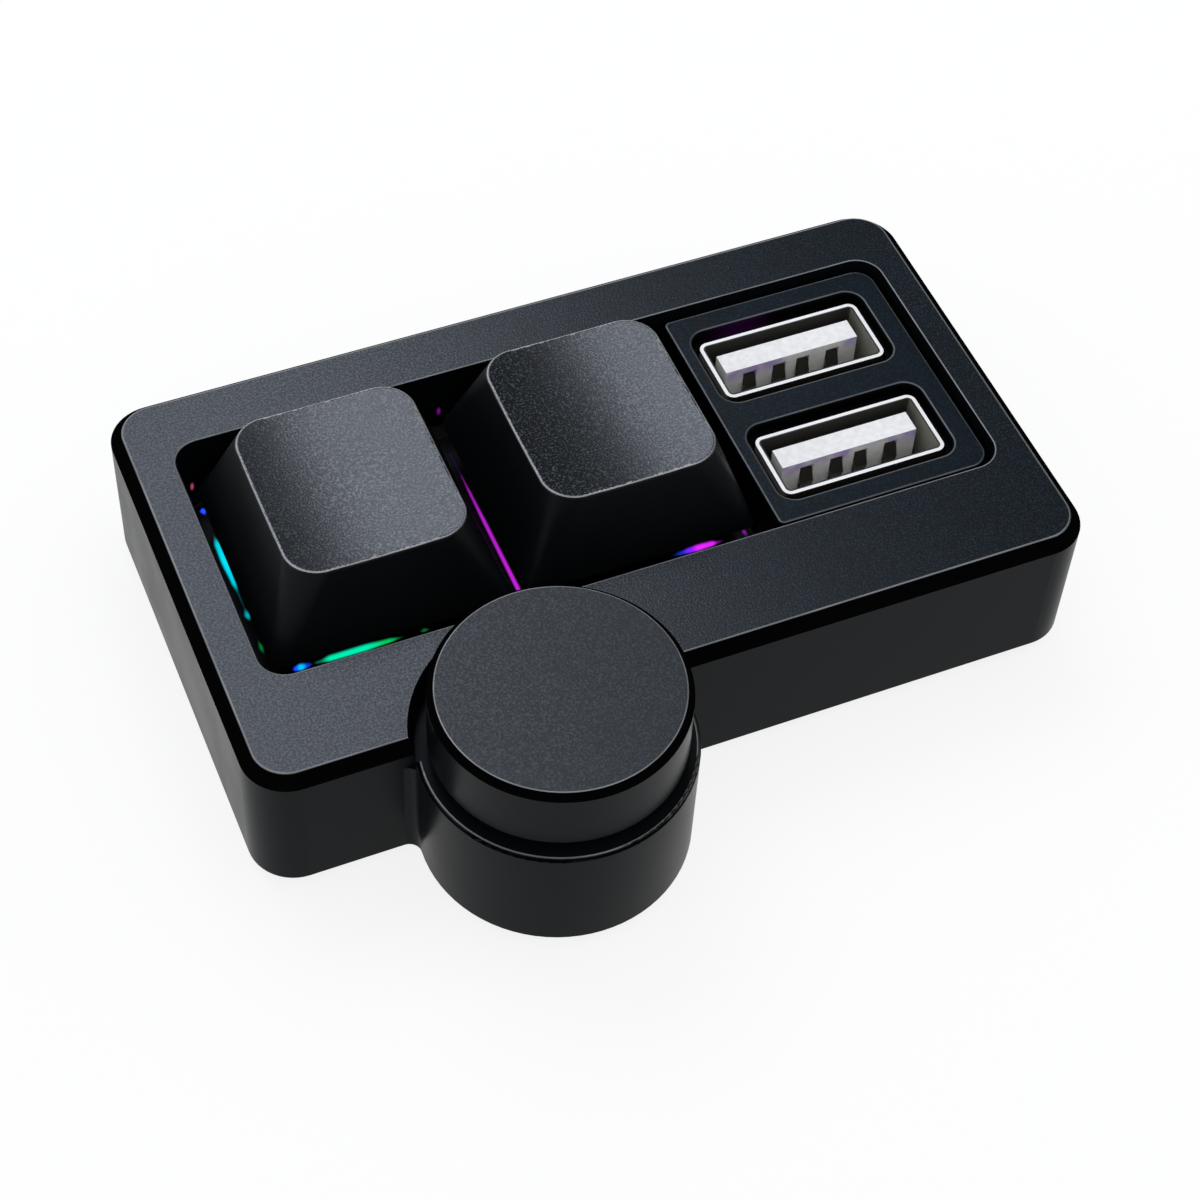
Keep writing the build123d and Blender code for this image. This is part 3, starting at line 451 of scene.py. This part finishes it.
def shell_finish():
    """Plated shell of a socket, dark where it looks to the front and gets little light."""
    plating = (0.5, 0.49, 0.42, 1.0)
    shade_colour = (0.01, 0.009, 0.008, 1.0)
    frontward_span = (-0.9, -0.3)
    deepest_shade = 0.9
    material = metal(
        "socket_shell", plating, rough=0.34, brush=(1.0, 1.0, 0.1), relief=0.03, metallic=0.6
    )
    tree = material.node_tree
    shade = remap(tree, facing(tree)["Y"], *frontward_span, deepest_shade, 0.0)
    repaint(material, shade, shade_colour)
    return material


def rim_finish(node_name):
    """Rim of a socket's shell: a painted highlight, near-white, on the outer lip, and painted shade
    where it turns in.
    """
    bright = (1.0, 1.0, 0.99, 1.0)
    dark = (0.02, 0.02, 0.018, 1.0)
    material = metal(node_name + "_rim", bright, rough=0.35, relief=0.02, metallic=0.15)
    tree = material.node_tree
    corners = [vertex.co for vertex in nodes[node_name].data.vertices]
    highest = max(corner.z for corner in corners)
    rim = [corner for corner in corners if corner.z > highest - rim_tolerance]
    low = Vector((min(corner.x for corner in rim), min(corner.y for corner in rim)))
    high = Vector((max(corner.x for corner in rim), max(corner.y for corner in rim)))
    depth = outline_depth(tree, low, high, socket_corner_radius)
    lead_in_shade = remap(tree, depth, highlit_lip - lip_fade_out, highlit_lip + lip_fade_in)
    repaint(material, lead_in_shade, dark)
    return material


# Light that leaks out under the keys

# Distance from the start in millimetres, colour, strength, and the share of the reach that is lit
left_streaks = [
    (0.0, GREEN, 0.0, 0.0),
    (1.0, GREEN, 0.14, 0.6),
    (2.2, OFF, 0.0, 0.0),
    (3.3, CYAN, 0.0, 0.0),
    (4.1, CYAN, 0.3, 0.8),
    (4.9, CYAN, 0.06, 0.3),
    (6.2, CYAN, 0.1, 0.35),
    (7.4, CYAN, 0.5, 0.75),
    (9.5, CYAN, 0.58, 1.0),
    (11.0, CYAN, 0.5, 0.9),
    (12.3, CYAN, 0.0, 0.2),
    (13.9, BLUE, 0.0, 0.0),
    (14.6, BLUE, 0.8, 0.9),
    (15.1, BLUE, 0.0, 0.0),
]
middle_streaks = [
    (0.0, MAGENTA, 0.36, 1.0),
    (8.0, MAGENTA, 0.3, 0.9),
    (11.0, MAGENTA, 0.24, 0.7),
    (12.8, MAGENTA, 0.12, 0.5),
    (13.4, VIOLET, 0.05, 0.4),
    (15.2, VIOLET, 0.03, 0.4),
    (16.2, OFF, 0.0, 0.0),
]
left_front_streaks = [
    (0.0, BLUE, 0.0, 0.0),
    (0.4, BLUE, 0.6, 0.8),
    (0.8, AZURE, 0.55, 1.0),
    (1.3, BLUE, 0.3, 0.8),
    (1.7, BLUE, 0.02, 0.4),
    (2.1, MINT, 0.12, 0.5),
    (3.1, MINT, 0.5, 0.95),
    (5.5, MINT, 0.5, 1.0),
    (7.3, GREEN, 0.4, 0.75),
    (8.7, GREEN, 0.0, 0.2),
    (9.5, GREEN, 0.0, 0.0),
    (10.1, GREEN, 0.12, 0.6),
    (10.7, GREEN, 0.0, 0.0),
]
right_front_streaks = [
    (0.0, BLUE, 0.0, 0.2),
    (1.0, BLUE, 0.25, 0.7),
    (1.7, VIOLET, 0.6, 0.9),
    (2.4, MAGENTA, 0.55, 1.0),
    (3.4, MAGENTA, 0.5, 0.9),
    (4.0, MAGENTA, 0.12, 0.5),
    (4.6, OFF, 0.0, 0.0),
]
streak_strength = 2.2

# Room inside a streak's lit width at which its light is full, as a share of the reach
streak_edge = 0.75

# Streaks on the light guide start some way back from its front end
left_streak_setback = 4.075 * MM
left_streak_inset = 0.98 * MM
left_streak_reach = 0.36 * MM
middle_streak_setback = 2.075 * MM
middle_streak_shift = 0.95 * MM
middle_streak_reach = 0.23 * MM

# Streaks on a switch housing start some way in from its left end
left_front_inset = 0.1 * MM
right_front_inset = 10.35 * MM
front_streak_reach = 0.44 * MM
front_edge_tolerance = 0.05 * MM

# Spots of stray light on the pocket's back wall, behind the rear socket and at the guide's right end
spot_reach = 0.5 * MM
pink_offset = Vector((0.25, 0.5, 0.6)) * MM
pink_spot = Vector((left_key_low.x, panel_high.y, guide_high.z)) + pink_offset
pink_light = scaled(PINK, 0.5)
magenta_offset = Vector((0.8, 0.5, 1.2)) * MM
magenta_spot = Vector((right_key_low.x, panel_high.y, guide_high.z)) + magenta_offset
magenta_light = scaled(MAGENTA, 0.25)
pocket_spills = [(pink_spot, spot_reach, pink_light), (magenta_spot, spot_reach, magenta_light)]
recess_offset = Vector((5.3, 0.715, -0.9)) * MM
recess_spot = Vector((rear_socket_low.x, rear_socket_high.y, panel_high.z)) + recess_offset
recess_spot_reach = 8 * MM
recess_light = (0.008, 0.0003, 0.011, 1.0)
recess_spills = [(recess_spot, recess_spot_reach, recess_light)]
guide_offset = Vector((-0.45, 2.575, 0.0)) * MM
guide_spot = Vector((guide_high.x, guide_low.y, guide_high.z)) + guide_offset
guide_light = scaled(MAGENTA, 0.15)


def lit_strip(tree, axis, start, stops, side_axis, line, reach, height=None):
    """Light along one axis of the object, close to a line on another axis, from a list of stops.
    With a height it keeps close to the line at that height, as along a raised edge."""
    axes = split(tree, object_place(tree))
    length = stops[-1][0] * MM
    share = add_node(
        tree,
        "ShaderNodeMapRange",
        None,
        {"Value": axes[axis], "From Min": start, "From Max": start + length},
    ).outputs["Result"]
    ramp = add_node(tree, "ShaderNodeValToRGB", None, {"Fac": share})
    ramp.color_ramp.interpolation = "EASE"
    elements = ramp.color_ramp.elements
    while len(elements) < len(stops):
        elements.new(1.0)
    for element, (distance, colour, strength, width) in zip(elements, stops):
        element.position = distance * MM / length
        element.color = scaled(colour, strength)[:3] + (width,)
    aside = calculate(tree, "ABSOLUTE", calculate(tree, "SUBTRACT", axes[side_axis], line))
    if height is not None:
        above = calculate(tree, "SUBTRACT", axes["Z"], height)
        squares = [calculate(tree, "MULTIPLY", part, part) for part in (aside, above)]
        aside = calculate(tree, "SQRT", calculate(tree, "ADD", *squares))
    room = calculate(tree, "SUBTRACT", ramp.outputs["Alpha"], calculate(tree, "DIVIDE", aside, reach))
    return blend_colours(tree, remap(tree, room, 0.0, streak_edge), BLACK, ramp.outputs["Color"])


def light_guide_finish():
    """Dark translucent guide round the switches, lit in bands of colour."""
    material, tree, shader = dark_plastic(
        "light_guide", grain_size=0.5 * MM, levels=(0.004, 0.008), rough_span=(0.3, 0.45), relief=0.1
    )
    left_start = guide_low.y + left_streak_setback
    left_line = guide_low.x + left_streak_inset
    left = lit_strip(tree, "Y", left_start, left_streaks, "X", left_line, left_streak_reach)
    middle_start = guide_low.y + middle_streak_setback
    seam = (left_key_high.x + right_key_low.x) / 2 + middle_streak_shift
    middle = lit_strip(tree, "Y", middle_start, middle_streaks, "X", seam, middle_streak_reach)
    streaks = blend_colours(tree, 1.0, left, middle, "ADD")
    spot = upright_spot(tree, guide_spot, spot_reach)
    glow(tree, shader, blend_colours(tree, spot, streaks, guide_light), streak_strength)
    return material


def lit_housing(node_name, inset, stops):
    """Dark switch housing with light along the front edge of its flange."""
    material, tree, shader = dark_plastic(
        node_name + "_lit",
        grain_size=0.2 * MM,
        levels=(0.003, 0.006),
        rough_span=(0.35, 0.45),
        relief=0.2,
    )
    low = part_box(node_name)[0]
    points = [vertex.co for vertex in nodes[node_name].data.vertices]
    edge_height = max(point.z for point in points if point.y < low.y + front_edge_tolerance)
    start = low.x + inset
    streaks = lit_strip(tree, "X", start, stops, "Y", low.y, front_streak_reach, edge_height)
    glow(tree, shader, streaks, streak_strength)
    return material


# The finish of every slot in the record

case_wall = smooth_wall("case_wall", grey(0.0032, 1.7), rough=0.3, specular=0.05, spills=pocket_spills)
key_side = smooth_wall("keycap_side", grey(0.004, 1.4), rough=0.34, specular=0.07)
knob_wall = smooth_wall("knob_wall", grey(0.0032, 1.7), rough=0.3, specular=0.06)
panel_wall = smooth_wall("panel_wall", grey(0.0015, 1.3), rough=0.4, specular=0.04, spills=recess_spills)
cover_finish = grained_plastic(
    "cover_plastic", grey(0.012), rough=0.5, specular=0.35, pale=2.6, uneven=1.4, relief=0.3
)
socket_shell = shell_finish()

finishes = {
    "case_plastic": case_wall,
    "keycap_plastic": key_side,
    "knob_finish": knob_wall,
    "panel_plastic": panel_wall,
    "cover_plastic": cover_finish,
    "socket_tongue": tongue_finish(),
    "socket_shell": socket_shell,
    "light_guide": light_guide_finish(),
}
moulded_slots = {
    "foot_rubber": dict(colour=grey(0.02), rough=0.75, specular=0.25, grain_size=0.3 * MM, relief=0.4),
    "board_laminate": dict(
        colour=(0.012, 0.05, 0.025, 1.0), rough=0.35, specular=0.5, grain_size=0.4 * MM
    ),
    "chip_plastic": dict(colour=grey(0.018), rough=0.5),
    "passive_ceramic": dict(colour=(0.32, 0.23, 0.15, 1.0), rough=0.45),
    "led_plastic": dict(colour=(0.8, 0.8, 0.75, 1.0), rough=0.3),
    "spacer_nylon": dict(colour=grey(0.5), rough=0.5),
    "inlet_tongue": dict(colour=grey(0.015), rough=0.45),
    "encoder_plastic": dict(colour=grey(0.02), rough=0.5),
    "plunger_plastic": dict(colour=grey(0.45), rough=0.45),
    "switch_housing": dict(colour=grey(0.012), rough=0.4),
    "stem_plastic": dict(colour=grey(0.22, 1.1), rough=0.42),
    "plate_metal": dict(
        colour=grey(0.008), rough=0.5, specular=0.35, grain_size=0.25 * MM, relief=0.35
    ),
}
metal_slots = {
    "socket_contacts": dict(colour=(0.12, 0.11, 0.1, 1.0), rough=0.4),
    "screw_steel": dict(colour=(0.09, 0.09, 0.095, 1.0), rough=0.38),
    "insert_brass": dict(colour=(0.72, 0.52, 0.24, 1.0), rough=0.32, brush=(1.0, 1.0, 0.2)),
    "crystal_can": dict(colour=(0.66, 0.66, 0.65, 1.0), rough=0.3),
    "encoder_metal": dict(colour=(0.6, 0.6, 0.58, 1.0), rough=0.34),
    "contact_metal": dict(colour=(0.66, 0.55, 0.34, 1.0), rough=0.32),
    "spring_steel": dict(colour=(0.56, 0.56, 0.56, 1.0), rough=0.28),
    "shaft_metal": dict(colour=(0.56, 0.56, 0.55, 1.0), rough=0.3),
}
for slot, looks in moulded_slots.items():
    finishes[slot] = plain_moulded(slot, **looks)
for slot, looks in metal_slots.items():
    finishes[slot] = metal(slot, **looks)

# Every CAD node takes the finish of its slot, apart from the housings that light shows on
lit_nodes = {
    "left_switch_base": lit_housing("left_switch_base", left_front_inset, left_front_streaks),
    "right_switch_base": lit_housing("right_switch_base", right_front_inset, right_front_streaks),
}
for node_name, node in nodes.items():
    finish = lit_nodes.get(node_name) or finishes[record_slots[node_name]]
    node.data.materials.clear()
    node.data.materials.append(finish)


# Pieces whose tops, edges and walls are finished apart

# Places of the finishes in a piece's list of materials
WALL = 0
TOP = 1
EDGE = 2
BAND = 3
LOW_EDGE = 4

# Faces that look up from deeper than this below a piece's highest point aren't part of its top
sunken_depth = 0.35 * MM


def dress(node_name, top, edge, band, top_from, edge_from, band_from, low_edge=None):
    """Adds finishes by how far up each face looks. Faces that look up from deeper down keep the wall's,
    and edges down there take a finish of their own where one is given."""
    mesh = nodes[node_name].data
    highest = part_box(node_name)[1].z
    for finish in (top, edge, band, low_edge or edge):
        mesh.materials.append(finish)
    for face in mesh.polygons:
        upward = face.normal.z
        sunken = face.center.z < highest - sunken_depth
        if upward >= top_from:
            face.material_index = WALL if sunken else TOP
        elif upward >= edge_from:
            face.material_index = LOW_EDGE if sunken else EDGE
        elif upward >= band_from:
            face.material_index = BAND


# The chamfer bands get painted shade: a darker copy of the wall plastic that reflects nothing
shaded_band = smooth_wall("shaded_band", grey(0.0012, 1.1), rough=0.4, specular=0.0)

case_top = grained_plastic(
    "case_top", grey(0.0028, 2.9), rough=0.27, specular=0.46, pale=6.5, uneven=1.3, relief=0.3
)
# Pale lines on the case's rounded edges are painted highlights, with painted shade below them
case_edge = highlit_edge("case_edge", grey(0.2, 1.1), highlight_from=0.8, right_highlight_share=0.15)
boss_edge = highlit_edge("boss_edge", grey(0.2, 1.1), highlight_from=0.93, right_highlight_share=0.1)
dress(
    "top_case",
    case_top,
    case_edge,
    shaded_band,
    top_from=0.9985,
    edge_from=0.72,
    band_from=0.3,
    low_edge=boss_edge,
)

knob_top = grained_plastic(
    "knob_top", grey(0.011, 2.0), rough=0.38, specular=0.39, pale=1.6, uneven=1.15, relief=0.2
)
# Painted highlight along the knob's rounded edges
knob_edge = highlit_edge("knob_edge", grey(0.24, 1.05), highlight_from=0.8, right_highlight_share=0.4)
dress("knob", knob_top, knob_edge, shaded_band, top_from=0.995, edge_from=0.75, band_from=0.3)

panel_top = grained_plastic(
    "panel_top", grey(0.004, 4.4), rough=0.36, specular=0.2, pale=2.0, uneven=1.2, relief=0.3
)
# Painted highlight along the panel's rounded edges
panel_edge = highlit_edge("panel_edge", grey(0.09, 1.2), highlight_from=0.8, right_highlight_share=0.2)
dress("hub_panel", panel_top, panel_edge, panel_wall, top_from=0.9985, edge_from=0.72, band_from=0.3)

# Slope of the hollow in a keycap's sheen, at one metre from its middle
scoop_slope = 20.0
# Painted highlight along the keycaps' rounded edges
key_edge = highlit_edge("keycap_edge", grey(0.34, 1.05), highlight_from=0.78, right_highlight_share=0.45)
for side in ("left", "right"):
    low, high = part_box(side + "_keycap")
    key_top = grained_plastic(
        side + "_keycap_top",
        grey(0.006, 1.4),
        rough=0.24,
        specular=0.6,
        pale=10.5,
        uneven=1.25,
        relief=0.25,
        scoop=((low.x + high.x) / 2, scoop_slope),
    )
    dress(side + "_keycap", key_top, key_edge, key_side, top_from=0.985, edge_from=0.55, band_from=0.3)

for side in ("front", "rear"):
    rim = rim_finish(side + "_usb_shell")
    dress(side + "_usb_shell", rim, rim, socket_shell, top_from=0.99, edge_from=0.9, band_from=0.5)


# Springs and the snap dome, as copies on the case body

def pressed_flat(node_name):
    """Puts a copy of a node's mesh on the case body and hides the node."""
    piece = bpy.data.objects.new(node_name + "_flexing", nodes[node_name].data.copy())
    bpy.context.scene.collection.objects.link(piece)
    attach(piece, "case")
    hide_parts(node_name)
    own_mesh(piece)


pressed_flat("left_switch_spring")
pressed_flat("right_switch_spring")
pressed_flat("encoder_dome")


# Floor, world and lamps

def shiny_ray(tree, paths):
    """1 for the rays by which shiny and clear surfaces see."""
    return calculate(tree, "MAXIMUM", paths["Is Glossy Ray"], paths["Is Transmission Ray"])


def pale_floor():
    """A broad pale floor under the feet, bright to the eye and to shiny surfaces, with a soft shadow."""
    reach = 2.0
    drop = 0.02 * MM
    floor_colour = (0.9, 0.9, 0.91, 1.0)
    glow_share = 0.84
    corners = [(-reach, -reach), (reach, -reach), (reach, reach), (-reach, reach)]
    mesh = bpy.data.meshes.new("floor")
    mesh.from_pydata([(x, y, -drop) for x, y in corners], [], [(0, 1, 2, 3)])
    floor = bpy.data.objects.new("floor", mesh)
    bpy.context.scene.collection.objects.link(floor)
    material = bpy.data.materials.new("pale_floor")
    material.use_nodes = True
    tree = material.node_tree
    tree.nodes.clear()
    dull = add_node(tree, "ShaderNodeBsdfDiffuse", None, {"Color": floor_colour}).outputs[0]
    bright = add_node(tree, "ShaderNodeEmission", None, {"Color": WHITE, "Strength": 1.0}).outputs[0]
    paths = add_node(tree, "ShaderNodeLightPath").outputs
    seen = calculate(tree, "MAXIMUM", paths["Is Camera Ray"], shiny_ray(tree, paths))
    share = calculate(tree, "MULTIPLY", seen, glow_share)
    mixed = add_node(tree, "ShaderNodeMixShader", None, {0: share, 1: dull, 2: bright})
    add_node(tree, "ShaderNodeOutputMaterial", None, {"Surface": mixed.outputs[0]})
    mesh.materials.append(material)


def studio_world():
    """White to the camera, and a little dimmer where it lights the object as ambient light.
    Shiny surfaces see it white near the horizon under a dark ceiling."""
    ceiling_span = (0.12, 0.45)
    ceiling_level = 0.02
    ambient_level = 0.7
    world = bpy.data.worlds.new("studio")
    bpy.context.scene.world = world
    world.use_nodes = True
    tree = world.node_tree
    tree.nodes.clear()
    direction = add_node(tree, "ShaderNodeTexCoord").outputs["Generated"]
    wall = remap(tree, split(tree, direction)["Z"], *ceiling_span, 1.0, ceiling_level)
    paths = add_node(tree, "ShaderNodeLightPath").outputs
    level = calculate(tree, "MULTIPLY", shiny_ray(tree, paths), wall)
    level = calculate(tree, "MAXIMUM", level, paths["Is Camera Ray"])
    ambient = calculate(tree, "MULTIPLY", paths["Is Diffuse Ray"], ambient_level)
    level = calculate(tree, "MAXIMUM", level, ambient)
    background = add_node(tree, "ShaderNodeBackground", None, {"Color": WHITE, "Strength": level})
    add_node(tree, "ShaderNodeOutputWorld", None, {"Surface": background.outputs[0]})


lamp_aim = Vector((0.0, 0.0, 8.0)) * MM


def softbox(name, azimuth, elevation, distance, width, height, radiance, colour=(1.0, 1.0, 1.0)):
    """A rectangular lamp that faces the object. Azimuth runs from +Y towards +X, in degrees."""
    turn, lift = math.radians(azimuth), math.radians(elevation)
    toward = Vector((math.sin(turn) * math.cos(lift), math.cos(turn) * math.cos(lift), math.sin(lift)))
    light = bpy.data.lights.new(name, "AREA")
    light.shape = "RECTANGLE"
    light.size = width
    light.size_y = height
    light.energy = radiance * math.pi * width * height
    light.color = colour
    lamp = bpy.data.objects.new(name, light)
    lamp.location = lamp_aim + toward * distance
    lamp.rotation_euler = (-toward).to_track_quat("-Z", "Y").to_euler()
    bpy.context.scene.collection.objects.link(lamp)


pale_floor()
studio_world()
softbox(
    "back_softbox",
    azimuth=-7.0,
    elevation=55.0,
    distance=0.56,
    width=0.38,
    height=0.28,
    radiance=3.6,
    colour=(0.8, 0.86, 1.0),
)
softbox(
    "overhead_softbox",
    azimuth=90.0,
    elevation=74.0,
    distance=0.5,
    width=0.26,
    height=0.18,
    radiance=1.6,
)
softbox(
    "left_softbox",
    azimuth=-96.0,
    elevation=18.0,
    distance=0.52,
    width=0.3,
    height=0.2,
    radiance=1.5,
    colour=(0.8, 0.88, 1.0),
)
softbox(
    "right_softbox",
    azimuth=101.0,
    elevation=16.0,
    distance=0.52,
    width=0.3,
    height=0.2,
    radiance=1.2,
)


# Camera at the photograph's viewing angle

camera_target = Vector((-2.702, -2.174, 8.0)) * MM
camera_distance = 198.48 * MM
camera_azimuth = math.radians(25.615)
camera_elevation = math.radians(51.797)
camera_roll = math.radians(3.786)
focal_length_mm = 82.24
sensor_width_mm = 36.0
nearest_seen = 10 * MM

forward = Vector(
    (
        math.sin(camera_azimuth) * math.cos(camera_elevation),
        math.cos(camera_azimuth) * math.cos(camera_elevation),
        -math.sin(camera_elevation),
    )
)
level_right = forward.cross(Vector((0, 0, 1))).normalized()
level_up = level_right.cross(forward)
right = level_right * math.cos(camera_roll) + level_up * math.sin(camera_roll)
up = right.cross(forward)
camera_place = Matrix.Translation(camera_target - forward * camera_distance)
camera_turn = Matrix((right, up, -forward)).transposed().to_4x4()

camera_data = bpy.data.cameras.new("camera")
camera_data.sensor_width = sensor_width_mm
camera_data.lens = focal_length_mm
camera_data.clip_start = nearest_seen
camera = bpy.data.objects.new("camera", camera_data)
camera.matrix_world = camera_place @ camera_turn
bpy.context.scene.collection.objects.link(camera)
bpy.context.scene.camera = camera
bpy.context.scene.view_settings.view_transform = "Standard"
